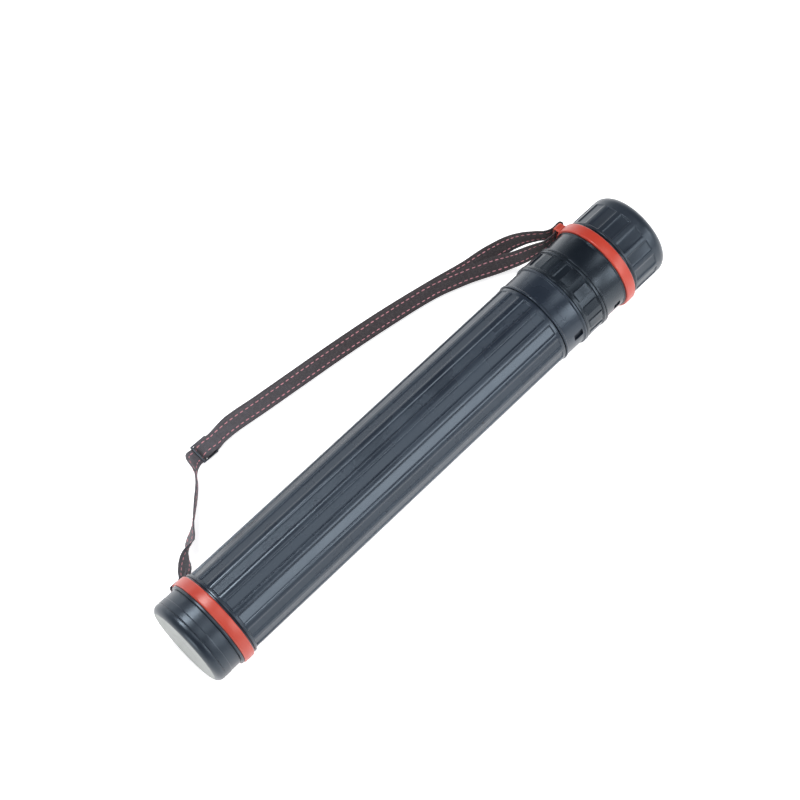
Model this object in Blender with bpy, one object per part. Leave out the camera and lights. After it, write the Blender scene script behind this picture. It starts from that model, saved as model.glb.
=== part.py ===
"""Telescopic drawing tube with two strap rings, a twist lock, a pull-off lid and a webbing shoulder strap.

Metres, +Z up.  The tube lies on its two strap rings with its axis on +X.  The flat end of the bottom cap
is centred on the origin, and the lid is at the far end.
"""
import math

import bmesh
import bpy
from mathutils import Vector

# Driving dimensions ------------------------------------------------------------------------------------

CLOSED_LENGTH = 0.627        # flat end of the bottom cap to the end of the lid
BORE_RADIUS = 0.0411         # room for the rolled drawings
INNER_WALL = 0.0015          # sliding tube
SLEEVE_WALL = 0.0014         # cap plug, guide ring, collar plug and collet
NECK_WALL = 0.0014           # outer tube and head, under the strap rings
BODY_WALL = 0.0024           # outer tube, between its panels
STRAP_RING_THICKNESS = 0.0037
STRAP_RING_WIDTH = 0.0120

GAP = 0.0003                 # between pieces that fit in each other
FACE_GAP = 0.0004            # between pieces that meet end to end

CAP_LENGTH = 0.0316          # part of the bottom cap that shows
CAP_PLUG_LENGTH = 0.0224
CAP_CORNER = 0.0075
END_WALL = 0.0024            # flat ends of the cap and the lid
FLANGE_LENGTH = 0.0042       # flange of the outer tube above the lower strap ring

GUIDE_LENGTH = 0.0100
COLLAR_PLUG_LENGTH = 0.0194
COLLAR_LENGTH = 0.0291
COLLET_OVERLAP = 0.0256      # length of the collet inside the collar
LOCK_RING_LENGTH = 0.0281
HEAD_NECK_LENGTH = 0.0296    # head, from the lock ring to the upper strap ring
HEAD_FLANGE_LENGTH = 0.0022
SPIGOT_LENGTH = 0.0272       # part of the head that the lid covers
LID_LENGTH = 0.0482
LID_CORNER = 0.0110
GASKET_THICKNESS = 0.0013

BEAD_RISE = 0.0017           # beads of the twist lock, above the outer tube between its panels
PANELS = 16                  # around the outer tube, the lock ring and the lid
SUNK_DEPTH = 0.0013          # of the panels of the tube and the lid, at their middle
GRIP_HEIGHT = 0.0008         # of the bars of the lock ring
PANEL_SLOPE = 0.0006         # run of a panel's end walls

WEBBING_WIDTH = 0.0190
WEBBING_THICKNESS = 0.0014
LUG_SLOT = 0.0030            # radial opening for the webbing
LUG_BAR = 0.0026
LUG_POST = 0.0030
LOWER_LUG_ANGLE = math.radians(-22.0)    # above the horizontal, on the +Y side
UPPER_LUG_ANGLE = math.radians(0.0)

SEGMENTS = 48                # around the plain turned pieces

# Radii, from the bore outward --------------------------------------------------------------------------

INNER_RADIUS = BORE_RADIUS + INNER_WALL
SLEEVE_BORE = INNER_RADIUS + GAP
SLEEVE_RADIUS = SLEEVE_BORE + SLEEVE_WALL
TUBE_BORE = SLEEVE_RADIUS + GAP
NECK_RADIUS = TUBE_BORE + NECK_WALL
STRAP_RING_BORE = NECK_RADIUS + GAP
STRAP_RING_RADIUS = STRAP_RING_BORE + STRAP_RING_THICKNESS
BODY_RADIUS = TUBE_BORE + BODY_WALL
BEAD_RADIUS = BODY_RADIUS + BEAD_RISE
LOCK_BORE = SLEEVE_RADIUS + 2 * GAP
SPIGOT_RADIUS = TUBE_BORE
LID_BORE = SPIGOT_RADIUS + GAP
LID_RADIUS = BODY_RADIUS + 0.0004

# Places along the axis ---------------------------------------------------------------------------------

LOWER_RING_X = CAP_LENGTH + FACE_GAP
TUBE_START = CAP_LENGTH + FACE_GAP
FLANGE_X = LOWER_RING_X + STRAP_RING_WIDTH + FACE_GAP
BODY_START = FLANGE_X + FLANGE_LENGTH
CAP_PLUG_END = CAP_LENGTH + CAP_PLUG_LENGTH
INNER_START = CAP_PLUG_END + 2 * FACE_GAP

LID_START = CLOSED_LENGTH - LID_LENGTH
UPPER_FLANGE_X = LID_START - FACE_GAP - HEAD_FLANGE_LENGTH
UPPER_RING_X = UPPER_FLANGE_X - FACE_GAP - STRAP_RING_WIDTH
HEAD_START = UPPER_RING_X - HEAD_NECK_LENGTH
SPIGOT_END = LID_START + SPIGOT_LENGTH
INNER_END = UPPER_RING_X
LOCK_RING_START = HEAD_START - FACE_GAP - LOCK_RING_LENGTH
COLLAR_START = LOCK_RING_START - FACE_GAP - COLLAR_LENGTH
COLLAR_PLUG_START = COLLAR_START - COLLAR_PLUG_LENGTH
TUBE_END = COLLAR_START - FACE_GAP
PANELS_START = BODY_START + 0.0010
PANELS_END = TUBE_END - 0.0044
COLLET_START = LOCK_RING_START - COLLET_OVERLAP
COLLET_END = HEAD_START - 6 * FACE_GAP

LOWER_LUG_X = LOWER_RING_X + STRAP_RING_WIDTH / 2
UPPER_LUG_X = UPPER_RING_X + STRAP_RING_WIDTH / 2
GROUND = -STRAP_RING_RADIUS

# Panels around the turned pieces: the angle of one, from the top towards +Y, and half their width -----

PANEL_STEP = 360.0 / PANELS
PANEL_WALL = 0.8
BODY_PANEL = (6.9, 7.7)
GRIP_BAR = (16.1, 7.0)
LID_PANEL = (1.4, 8.3)

# Materials ---------------------------------------------------------------------------------------------


def material(name, colour, roughness, metallic=0.0):
    made = bpy.data.materials.new(name)
    made.use_nodes = True
    shader = made.node_tree.nodes["Principled BSDF"]
    shader.inputs["Base Color"].default_value = (*colour, 1.0)
    shader.inputs["Roughness"].default_value = roughness
    shader.inputs["Metallic"].default_value = metallic
    made.diffuse_color = (*colour, 1.0)
    return made


def make_materials():
    return {
        "body_plastic": material("body_plastic", (0.034, 0.040, 0.052), 0.32),
        "inner_plastic": material("inner_plastic", (0.026, 0.030, 0.038), 0.42),
        "red_plastic": material("red_plastic", (0.58, 0.065, 0.045), 0.34),
        "slider_plastic": material("slider_plastic", (0.040, 0.042, 0.050), 0.45),
        "seal_rubber": material("seal_rubber", (0.018, 0.018, 0.019), 0.75),
        "webbing": material("webbing", (0.035, 0.026, 0.030), 0.85),
    }


# Mesh helpers ------------------------------------------------------------------------------------------


def add_object(name, mesh, look, collection=None):
    made = bpy.data.objects.new(name, mesh)
    if look is not None:
        mesh.materials.append(look)
    (collection or bpy.context.scene.collection).objects.link(made)
    return made


def finish_mesh(name, form):
    bmesh.ops.recalc_face_normals(form, faces=form.faces)
    mesh = bpy.data.meshes.new(name)
    form.to_mesh(mesh)
    form.free()
    return mesh


def polar(x, radius, angle):
    """A point at that radius, with the angle measured from the top towards +Y."""
    return Vector((x, radius * math.sin(angle), radius * math.cos(angle)))


def even_angles(count):
    """Angles with a facet, not an edge, at the bottom, so that a ring lies still on it."""
    return [2 * math.pi * (i + 0.5) / count for i in range(count)]


def panel_angles(panel):
    """Angles around a panelled piece, each with how far it is from the middle of its flat panel, or None."""
    phase, half = panel
    flat = half - PANEL_WALL
    out = []
    for index in range(PANELS):
        centre = phase + index * PANEL_STEP
        for offset in (-half, -flat, 0.0, flat, half):
            out.append((math.radians(centre + offset), math.radians(offset) if abs(offset) < half else None))
    return out


def loft(name, rings):
    """Joins rings of points.  A ring of one point closes an end, otherwise the last meets the first."""
    form = bmesh.new()
    made = [[form.verts.new(p) for p in ring] for ring in rings]
    closed = len(rings[0]) > 1
    pairs = list(zip(made, made[1:] + made[:1])) if closed else list(zip(made, made[1:]))
    for one, two in pairs:
        count = max(len(one), len(two))
        for i in range(count):
            j = (i + 1) % count
            corners = []
            for ring, index in ((one, i), (one, j), (two, j), (two, i)):
                corner = ring[index if len(ring) > 1 else 0]
                if corner not in corners:
                    corners.append(corner)
            form.faces.new(corners)
    return finish_mesh(name, form)


def turned(name, profile, look):
    """A piece turned about the X axis from (x, radius) points in order."""
    rings = []
    for x, radius in profile:
        angles = even_angles(SEGMENTS) if radius > 0 else [0.0]
        rings.append([polar(x, radius, a) for a in angles])
    made = add_object(name, loft(name, rings), look)
    shade_smooth(made)
    return made


def turned_with_panels(name, profile, panel, rise, look):
    """As turned(), where a third value True marks the points whose flat panels stand above their radius."""
    angles = panel_angles(panel)
    rings = []
    for x, radius, panelled in profile:
        if radius == 0:
            rings.append([polar(x, 0.0, 0.0)])
            continue
        ring = []
        for angle, offset in angles:
            flat = panelled and offset is not None
            ring.append(polar(x, (radius + rise) / math.cos(offset) if flat else radius, angle))
        rings.append(ring)
    made = add_object(name, loft(name, rings), look)
    shade_smooth(made)
    return made


def shade_smooth(made):
    made.data.polygons.foreach_set("use_smooth", [True] * len(made.data.polygons))
    made.data.set_sharp_from_angle(angle=math.radians(30))


def arc(centre_x, centre_radius, radius, start, end, count):
    """Points of a turned corner, from start to end in degrees, where 0 is +X and 90 is outward."""
    out = []
    for i in range(count + 1):
        a = math.radians(start + (end - start) * i / count)
        out.append((centre_x + radius * math.cos(a), centre_radius + radius * math.sin(a)))
    return out


def box(name, low, high, look=None, collection=None, round_x=0.0):
    """A block between two corners, with its edges along X rounded by round_x."""
    form = bmesh.new()
    bmesh.ops.create_cube(form, size=1.0)
    low = Vector(low)
    high = Vector(high)
    size = high - low
    for vert in form.verts:
        vert.co = Vector((vert.co.x * size.x, vert.co.y * size.y, vert.co.z * size.z))
        vert.co += (low + high) / 2
    if round_x > 0:
        along = [e for e in form.edges if abs((e.verts[0].co - e.verts[1].co).normalized().x) > 0.99]
        bmesh.ops.bevel(form, geom=along, offset=round_x, segments=3, profile=0.5, affect="EDGES")
    return add_object(name, finish_mesh(name, form), look, collection)


def turn_about_x(made, angle):
    """Turns a block made on the +Y side up by angle, in its mesh, so that it stays at the origin."""
    c = math.cos(angle)
    s = math.sin(angle)
    for vert in made.data.vertices:
        y = vert.co.y
        z = vert.co.z
        vert.co.y = y * c - z * s
        vert.co.z = y * s + z * c


def boolean(made, cutter, operation):
    modifier = made.modifiers.new(cutter.name, "BOOLEAN")
    modifier.operation = operation
    modifier.solver = "EXACT"
    modifier.object = cutter


def hide_cutter(made):
    made.hide_render = True
    made.display_type = "WIRE"


# The outer tube and what is fixed to it ----------------------------------------------------------------


def make_outer_tube(looks):
    body = BODY_RADIUS
    lip = BODY_RADIUS + 0.0016
    profile = [
        (TUBE_START, NECK_RADIUS, False),
        (FLANGE_X, NECK_RADIUS, False),
        (FLANGE_X, body + 0.0002, False),
        (FLANGE_X + 0.0014, body + 0.0002, False),
        (FLANGE_X + 0.0018, lip, False),
        (BODY_START - 0.0006, lip, False),
        (BODY_START, body, False),
        (PANELS_START, body, False),
        (PANELS_START + PANEL_SLOPE, body, True),
        (PANELS_END - PANEL_SLOPE, body, True),
        (PANELS_END, body, False),
        (TUBE_END - 0.0008, body, False),
        (TUBE_END, body - 0.0008, False),
        (TUBE_END, TUBE_BORE, False),
        (TUBE_START, TUBE_BORE, False),
    ]
    return turned_with_panels("outer_tube", profile, BODY_PANEL, -SUNK_DEPTH, looks["body_plastic"])


def make_bottom_cap(looks):
    cap = BODY_RADIUS
    skirt = cap - 0.0004
    groove_x = 0.0097
    step_x = 0.0170
    rim_x = 0.0284
    flange = BODY_RADIUS + 0.0020
    seal_x = LOWER_RING_X + 0.0080
    plug_bore = SLEEVE_BORE - 0.0012
    corner = arc(CAP_CORNER, cap - CAP_CORNER, CAP_CORNER, 180, 90, 4)
    profile = [(0.0, 0.0)] + corner + [
        (groove_x - 0.0005, cap),
        (groove_x, cap - 0.0006),
        (groove_x + 0.0005, cap),
        (step_x, cap),
        (step_x + 0.0004, skirt),
        (rim_x, skirt),
        (rim_x + 0.0004, skirt - 0.0006),
        (rim_x + 0.0009, flange),
        (CAP_LENGTH, flange),
        (CAP_LENGTH, SLEEVE_RADIUS),
        (seal_x, SLEEVE_RADIUS),
        (seal_x, SLEEVE_RADIUS - 0.0011),
        (seal_x + 0.0020, SLEEVE_RADIUS - 0.0011),
        (seal_x + 0.0020, SLEEVE_RADIUS),
        (CAP_PLUG_END, SLEEVE_RADIUS),
        (CAP_PLUG_END, plug_bore),
        (END_WALL + 0.0050, plug_bore),
        (END_WALL, plug_bore - 0.0050),
        (END_WALL, 0.0),
    ]
    turned("bottom_cap", profile, looks["body_plastic"])
    make_seal("bottom_seal", seal_x, SLEEVE_RADIUS, looks)


def make_seal(name, groove_x, surface_radius, looks):
    """A square-section rubber ring in a groove 2 mm wide and 1.1 mm deep."""
    low = surface_radius - 0.0011 + 0.0001
    high = surface_radius + 0.0001
    start = groove_x + 0.0002
    end = groove_x + 0.0018
    turned(name, [(start, low), (start, high), (end, high), (end, low)], looks["seal_rubber"])


def make_strap_ring(name, start, lug_angle, looks, cutters):
    """A ring with a lug on its side: a bar on two posts, which the webbing passes under."""
    end = start + STRAP_RING_WIDTH
    round_off = 0.0009
    profile = [
        (start, STRAP_RING_BORE),
        (start, STRAP_RING_RADIUS - round_off),
        (start + round_off, STRAP_RING_RADIUS),
        (end - round_off, STRAP_RING_RADIUS),
        (end, STRAP_RING_RADIUS - round_off),
        (end, STRAP_RING_BORE),
    ]
    ring = turned(name, profile, looks["red_plastic"])
    slot_low = STRAP_RING_RADIUS + 0.0006
    slot_high = slot_low + LUG_SLOT
    slot_half = WEBBING_WIDTH / 2 + 0.0010
    lug_half = slot_half + LUG_POST
    lug = box(
        name + "_lug",
        (start + 0.0010, STRAP_RING_BORE + 0.0010, -lug_half),
        (end - 0.0010, slot_high + LUG_BAR, lug_half),
        looks["red_plastic"],
        cutters,
        round_x=0.0025,
    )
    slot = box(
        name + "_slot",
        (start - 0.0050, slot_low, -slot_half),
        (end + 0.0050, slot_high, slot_half),
        None,
        cutters,
    )
    for cutter, operation in ((lug, "UNION"), (slot, "DIFFERENCE")):
        turn_about_x(cutter, lug_angle)
        hide_cutter(cutter)
        boolean(ring, cutter, operation)


def make_window(name, made, x, angle, length, width, low, high, cutters):
    """Cuts a rectangular window through the wall of a turned piece, between two radii."""
    cutter = box(name, (x, low, -width / 2), (x + length, high, width / 2), None, cutters)
    turn_about_x(cutter, angle)
    hide_cutter(cutter)
    boolean(made, cutter, "DIFFERENCE")


def make_lock_collar(looks, cutters):
    start = COLLAR_START
    end = COLLAR_START + COLLAR_LENGTH
    collar = BODY_RADIUS - 0.0001
    ridge = BODY_RADIUS + 0.0010
    bead_start = end - 0.0022
    profile = [
        (COLLAR_PLUG_START, SLEEVE_BORE),
        (COLLAR_PLUG_START, SLEEVE_RADIUS),
        (start, SLEEVE_RADIUS),
        (start, ridge - 0.0006),
        (start + 0.0008, ridge),
        (start + 0.0020, ridge),
        (start + 0.0030, collar),
        (bead_start - 0.0003, collar),
        (bead_start + 0.0003, BEAD_RADIUS),
        (end, BEAD_RADIUS),
        (end, TUBE_BORE),
        (COLLET_START - FACE_GAP, TUBE_BORE),
        (COLLET_START - FACE_GAP, SLEEVE_BORE),
    ]
    made = turned("lock_collar", profile, looks["body_plastic"])
    make_window(
        "collar_window", made, end - 0.0161, math.radians(164.0), 0.0118, 0.0092,
        TUBE_BORE - 0.0010, BEAD_RADIUS + 0.0020, cutters,
    )


def make_lock_collet(looks, cutters):
    """The split sleeve that the lock ring squeezes onto the sliding tube."""
    bead_x = LOCK_RING_START + 0.0018
    profile = [
        (COLLET_START, SLEEVE_BORE),
        (COLLET_START, SLEEVE_RADIUS),
        (bead_x, SLEEVE_RADIUS),
        (bead_x, SLEEVE_RADIUS + 0.0010),
        (bead_x + 0.0010, SLEEVE_RADIUS + 0.0010),
        (bead_x + 0.0010, SLEEVE_RADIUS),
        (COLLET_END, SLEEVE_RADIUS),
        (COLLET_END, SLEEVE_BORE),
    ]
    made = turned("lock_collet", profile, looks["inner_plastic"])
    slit_start = LOCK_RING_START + 0.0060
    reach = 2 * BEAD_RADIUS
    for index in range(4):
        slit = box(
            f"collet_slit_{index + 1}",
            (slit_start, -reach / 2, -0.0010),
            (COLLET_END + 0.0050, reach / 2, 0.0010),
            None,
            cutters,
        )
        turn_about_x(slit, math.radians(11.25 + 45.0 * index))
        hide_cutter(slit)
        boolean(made, slit, "DIFFERENCE")


def make_lock_ring(looks):
    start = LOCK_RING_START
    end = LOCK_RING_START + LOCK_RING_LENGTH
    body = BODY_RADIUS
    groove_low = start + 0.0011
    groove_high = start + 0.0035
    groove_radius = SLEEVE_RADIUS + 0.0010 + 2 * GAP
    profile = [
        (start, BEAD_RADIUS - 0.0005, False),
        (start + 0.0005, BEAD_RADIUS, False),
        (start + 0.0026, BEAD_RADIUS, False),
        (start + 0.0036, body, False),
        (start + 0.0052, body, False),
        (start + 0.0052 + PANEL_SLOPE, body, True),
        (end - 0.0044 - PANEL_SLOPE, body, True),
        (end - 0.0044, body, False),
        (end - 0.0034, body, False),
        (end - 0.0026, BEAD_RADIUS, False),
        (end - 0.0004, BEAD_RADIUS, False),
        (end, BEAD_RADIUS - 0.0004, False),
        (end, LOCK_BORE, False),
        (groove_high, LOCK_BORE, False),
        (groove_high, groove_radius, False),
        (groove_low, groove_radius, False),
        (groove_low, LOCK_BORE, False),
        (start, LOCK_BORE, False),
    ]
    turned_with_panels("lock_ring", profile, GRIP_BAR, GRIP_HEIGHT, looks["body_plastic"])


# The sliding tube and what is fixed to it --------------------------------------------------------------


def make_inner_tube(looks):
    profile = [
        (INNER_START, BORE_RADIUS),
        (INNER_START, INNER_RADIUS),
        (INNER_END, INNER_RADIUS),
        (INNER_END, BORE_RADIUS),
    ]
    turned("inner_tube", profile, looks["inner_plastic"])
    guide_end = INNER_START + GUIDE_LENGTH
    guide = [
        (INNER_START, SLEEVE_BORE),
        (INNER_START, SLEEVE_RADIUS),
        (guide_end, SLEEVE_RADIUS),
        (guide_end, SLEEVE_BORE),
    ]
    turned("guide_ring", guide, looks["inner_plastic"])


def make_head(looks, cutters):
    neck = BODY_RADIUS - 0.0003
    flange = BODY_RADIUS + 0.0008
    upper_flange = BODY_RADIUS + 0.0003
    upper_flange_end = UPPER_FLANGE_X + HEAD_FLANGE_LENGTH
    seal_x = LID_START + 0.0120
    profile = [
        (HEAD_START, BEAD_RADIUS - 0.0005),
        (HEAD_START + 0.0004, BEAD_RADIUS),
        (HEAD_START + 0.0022, BEAD_RADIUS),
        (HEAD_START + 0.0029, neck),
        (UPPER_RING_X - FACE_GAP - 0.0016, neck),
        (UPPER_RING_X - FACE_GAP - 0.0013, flange),
        (UPPER_RING_X - FACE_GAP, flange),
        (UPPER_RING_X - FACE_GAP, NECK_RADIUS),
        (UPPER_FLANGE_X, NECK_RADIUS),
        (UPPER_FLANGE_X, upper_flange),
        (upper_flange_end, upper_flange),
        (upper_flange_end, SPIGOT_RADIUS),
        (seal_x, SPIGOT_RADIUS),
        (seal_x, SPIGOT_RADIUS - 0.0011),
        (seal_x + 0.0020, SPIGOT_RADIUS - 0.0011),
        (seal_x + 0.0020, SPIGOT_RADIUS),
        (SPIGOT_END, SPIGOT_RADIUS),
        (SPIGOT_END, BORE_RADIUS),
        (INNER_END + FACE_GAP, BORE_RADIUS),
        (INNER_END + FACE_GAP, SLEEVE_BORE),
        (HEAD_START, SLEEVE_BORE),
    ]
    made = turned("head", profile, looks["body_plastic"])
    make_window(
        "head_window", made, UPPER_RING_X - 0.0165, math.radians(178.0), 0.0088, 0.0084,
        SLEEVE_BORE + 0.0012, BEAD_RADIUS + 0.0020, cutters,
    )
    make_seal("head_seal", seal_x, SPIGOT_RADIUS, looks)


# The lid -----------------------------------------------------------------------------------------------


def make_lid(looks):
    body = LID_RADIUS
    ledge_x = SPIGOT_END + GASKET_THICKNESS + 2 * GAP
    ledge_radius = BORE_RADIUS - 0.0008
    inside_end = CLOSED_LENGTH - END_WALL
    corner_x = CLOSED_LENGTH - LID_CORNER
    corner = arc(corner_x, body - LID_CORNER, LID_CORNER, 90, 0, 5)
    profile = [
        (LID_START, body - 0.0005, False),
        (LID_START + 0.0005, body, False),
        (LID_START + 0.0024, body, False),
        (LID_START + 0.0024 + PANEL_SLOPE, body, True),
        (corner_x - 0.0058 - PANEL_SLOPE, body, True),
        (corner_x - 0.0058, body, False),
    ]
    profile += [(x, radius, False) for x, radius in corner]
    profile += [
        (CLOSED_LENGTH, body - LID_CORNER - 0.0025, False),
        (CLOSED_LENGTH - 0.0006, body - LID_CORNER - 0.0035, False),
        (CLOSED_LENGTH - 0.0006, 0.0, False),
    ]
    inside = [
        (LID_START, LID_BORE, False),
        (ledge_x, LID_BORE, False),
        (ledge_x, ledge_radius, False),
        (inside_end - 0.0030, ledge_radius, False),
        (inside_end, ledge_radius - 0.0030, False),
        (inside_end, 0.0, False),
    ]
    turned_with_panels("lid", inside[::-1] + profile, LID_PANEL, -SUNK_DEPTH, looks["body_plastic"])
    start = SPIGOT_END + GAP
    end = start + GASKET_THICKNESS
    low = ledge_radius + GAP
    high = LID_BORE - 0.0005
    turned("lid_gasket", [(start, low), (start, high), (end, high), (end, low)], looks["seal_rubber"])


# The strap ---------------------------------------------------------------------------------------------

SLIDER_LENGTH = 0.0192
SLIDER_BAR = 0.0024
SLIDER_THICKNESS = 0.0020
SLIDER_SLOT_WIDTH = WEBBING_WIDTH + 0.0008
SLIDER_WIDTH = SLIDER_SLOT_WIDTH + 0.0028
SLIDER_LIFT = 2 * GAP + WEBBING_THICKNESS        # the webbing lies under the slider
SLIDER_ON = 0.1205                               # middle of the slider, on from the lower lug
SLIDER_OUT = 0.1005                              # and out from the strap rings
SLIDER_TURN = math.radians(-2.0)

FLAT = Vector((0, 1, 0))                         # which way the webbing's width points


def lug_frame(angle):
    """Outward and upward directions at a lug."""
    outward = Vector((0, math.cos(angle), math.sin(angle)))
    upward = Vector((0, -math.sin(angle), math.cos(angle)))
    return outward, upward


def lug_turn(lug_x, angle, side):
    """The webbing round a lug's bar, from outside it to under it, past the bar's +1 or -1 side."""
    outward, upward = lug_frame(angle)
    slot_low = STRAP_RING_RADIUS + 0.0006
    under = slot_low + LUG_SLOT / 2
    over = slot_low + LUG_SLOT + LUG_BAR + 2 * GAP + WEBBING_THICKNESS / 2
    middle = (over + under) / 2
    radius = (over - under) / 2
    bar_half = STRAP_RING_WIDTH / 2 - 0.0010
    points = [(lug_x - side * bar_half, over)]
    for step in range(5):
        a = math.radians(90 - 45 * step)
        points.append((lug_x + side * (bar_half + radius * math.cos(a)), middle + radius * math.sin(a)))
    points.append((lug_x - side * bar_half, under))
    return [(Vector((x, 0, 0)) + outward * out, upward) for x, out in points]


def on_ground(x, out, height, width_way=FLAT):
    """A point of the webbing's middle, with its distance out from the strap rings and its height."""
    return Vector((x, STRAP_RING_RADIUS + out, GROUND + height)), width_way


def at_slider(along, height):
    """A point of the webbing's middle, measured along the slider from its end nearer the lower lug."""
    c = math.cos(SLIDER_TURN)
    s = math.sin(SLIDER_TURN)
    reach = along - SLIDER_LENGTH / 2
    return on_ground(LOWER_LUG_X + SLIDER_ON + c * reach, SLIDER_OUT + s * reach, height, Vector((-s, c, 0)))


def leaning(lug_x, lug_angle, places):
    """Points of the webbing between the ground and a lug, from the distance on from the lug, the distance out,
    and the shares of the lug's height and of its lean."""
    height = STRAP_RING_RADIUS * (1 + math.sin(lug_angle))
    lean = math.pi / 2 + lug_angle
    out = []
    for on, away, rise, turned in places:
        way = Vector((0, math.cos(lean * turned), math.sin(lean * turned)))
        out.append(on_ground(lug_x + on, away, height * rise, way))
    return out


def twisted(on, away, height, tilt):
    """A point of the thin run beside the lower lug, on its edge and tilted by so many degrees."""
    a = math.radians(tilt)
    way = Vector((0.64 * math.sin(a), -0.77 * math.sin(a), math.cos(a)))
    return on_ground(LOWER_LUG_X + on, away, height, way)


def strap_route():
    """The webbing's middle line as (point, way its width points).  It runs from the end sewn to the slider
    to the upper lug, back on top of itself, through the slider and down to the lower lug."""
    low = LOWER_LUG_X
    high = UPPER_LUG_X
    span = high - low
    under = GAP + WEBBING_THICKNESS / 2
    bar = SLIDER_BAR + (SLIDER_LENGTH - 3 * SLIDER_BAR) / 2
    over_bar = SLIDER_LIFT + SLIDER_THICKNESS + under
    second = under + WEBBING_THICKNESS + 0.0007
    over_fold = over_bar + WEBBING_THICKNESS + 0.0005
    # the arc on the ground, as the share of the way between the lugs and the distance out
    arc_places = [
        (0.300, 0.1022),
        (0.365, 0.0975),
        (0.450, 0.0918),
        (0.550, 0.0850),
        (0.660, 0.0762),
        (0.770, 0.0650),
    ]

    route = [
        at_slider(bar + 0.0055, over_bar),
        at_slider(bar + 0.0025, over_bar),
        at_slider(bar, over_bar),
        at_slider(bar - 0.0014, over_bar - 0.0006),
        at_slider(bar - 0.0020, (over_bar + under) / 2),
        at_slider(bar - 0.0014, under + 0.0006),
        at_slider(bar, under),
        at_slider(SLIDER_LENGTH, under),
        on_ground(low + 0.1400, SLIDER_OUT + 0.0012, under),
    ]
    route += [on_ground(low + span * share, away + 0.0010, under) for share, away in arc_places]
    to_upper_lug = (
        (-0.0760, 0.0550, 0.050, 0.03),
        (-0.0600, 0.0512, 0.112, 0.18),
        (-0.0460, 0.0458, 0.255, 0.42),
        (-0.0343, 0.0378, 0.500, 0.64),
        (-0.0253, 0.0282, 0.735, 0.83),
        (-0.0173, 0.0180, 0.900, 0.96),
        (-0.0110, 0.0106, 0.975, 1.00),
    )
    from_upper_lug = (
        (-0.0120, 0.0020, 0.985, 1.00),
        (-0.0185, 0.0035, 0.940, 0.98),
        (-0.0250, 0.0078, 0.825, 0.91),
        (-0.0315, 0.0135, 0.645, 0.78),
        (-0.0380, 0.0198, 0.460, 0.62),
        (-0.0455, 0.0270, 0.300, 0.43),
        (-0.0560, 0.0348, 0.185, 0.21),
        (-0.0690, 0.0420, 0.130, 0.08),
        (-0.0850, 0.0495, 0.100, 0.02),
    )
    route += leaning(high, UPPER_LUG_ANGLE, to_upper_lug)
    route += lug_turn(high, UPPER_LUG_ANGLE, 1)
    route += leaning(high, UPPER_LUG_ANGLE, from_upper_lug)
    route += [on_ground(low + span * share, away - 0.0020, second) for share, away in reversed(arc_places)]
    route += [
        on_ground(low + 0.1430, SLIDER_OUT + 0.0005, second),
        at_slider(SLIDER_LENGTH + 0.0030, over_bar - 0.0006),
        at_slider(SLIDER_LENGTH, over_bar + 0.0003),
        at_slider(bar + 0.0080, over_bar + 0.0012),
        at_slider(bar + 0.0050, over_fold),
        at_slider(bar, over_fold + 0.0001),
        at_slider(SLIDER_BAR + 0.0040, over_fold - 0.0004),
        at_slider(SLIDER_BAR + 0.0023, over_bar),
        at_slider(SLIDER_BAR + 0.0019, under + 0.0022),
        at_slider(SLIDER_BAR + 0.0014, under + 0.0008),
        at_slider(SLIDER_BAR, under),
        at_slider(-0.0010, under + 0.0003),
        on_ground(low + 0.1068, 0.1007, 0.0024, Vector((-0.03, 0.99, 0.10))),
        on_ground(low + 0.1040, 0.0993, 0.0051, Vector((-0.13, 0.92, 0.38))),
        on_ground(low + 0.1014, 0.0966, 0.0077, Vector((-0.22, 0.72, 0.66))),
        on_ground(low + 0.0991, 0.0930, 0.0094, Vector((-0.20, 0.43, 0.88))),
        on_ground(low + 0.0971, 0.0889, 0.0103, Vector((-0.10, 0.16, 0.98))),
        twisted(0.0948, 0.0846, 0.0105, 0),
        twisted(0.0905, 0.0782, 0.0104, 0),
        twisted(0.0839, 0.0712, 0.0104, 0),
        twisted(0.0750, 0.0632, 0.0104, 0),
        twisted(0.0660, 0.0553, 0.0104, 3),
        twisted(0.0590, 0.0492, 0.0104, 8),
        twisted(0.0527, 0.0440, 0.0102, 17),
        twisted(0.0470, 0.0395, 0.0099, 29),
        twisted(0.0422, 0.0358, 0.0103, 33),
        twisted(0.0378, 0.0322, 0.0116, 20),
        twisted(0.0334, 0.0287, 0.0136, 0),
        twisted(0.0288, 0.0248, 0.0163, -18),
        twisted(0.0240, 0.0205, 0.0194, -31),
        twisted(0.0185, 0.0155, 0.0227, -35),
        twisted(0.0120, 0.0096, 0.0259, -29),
    ]
    route += lug_turn(low, LOWER_LUG_ANGLE, -1)
    outward, upward = lug_frame(LOWER_LUG_ANGLE)
    for ahead, away in ((0.0090, 0.0040), (0.0130, 0.0070), (0.0175, 0.0112)):
        route.append((Vector((low + ahead, 0, 0)) + outward * (STRAP_RING_RADIUS + away), upward))
    return route


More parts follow.
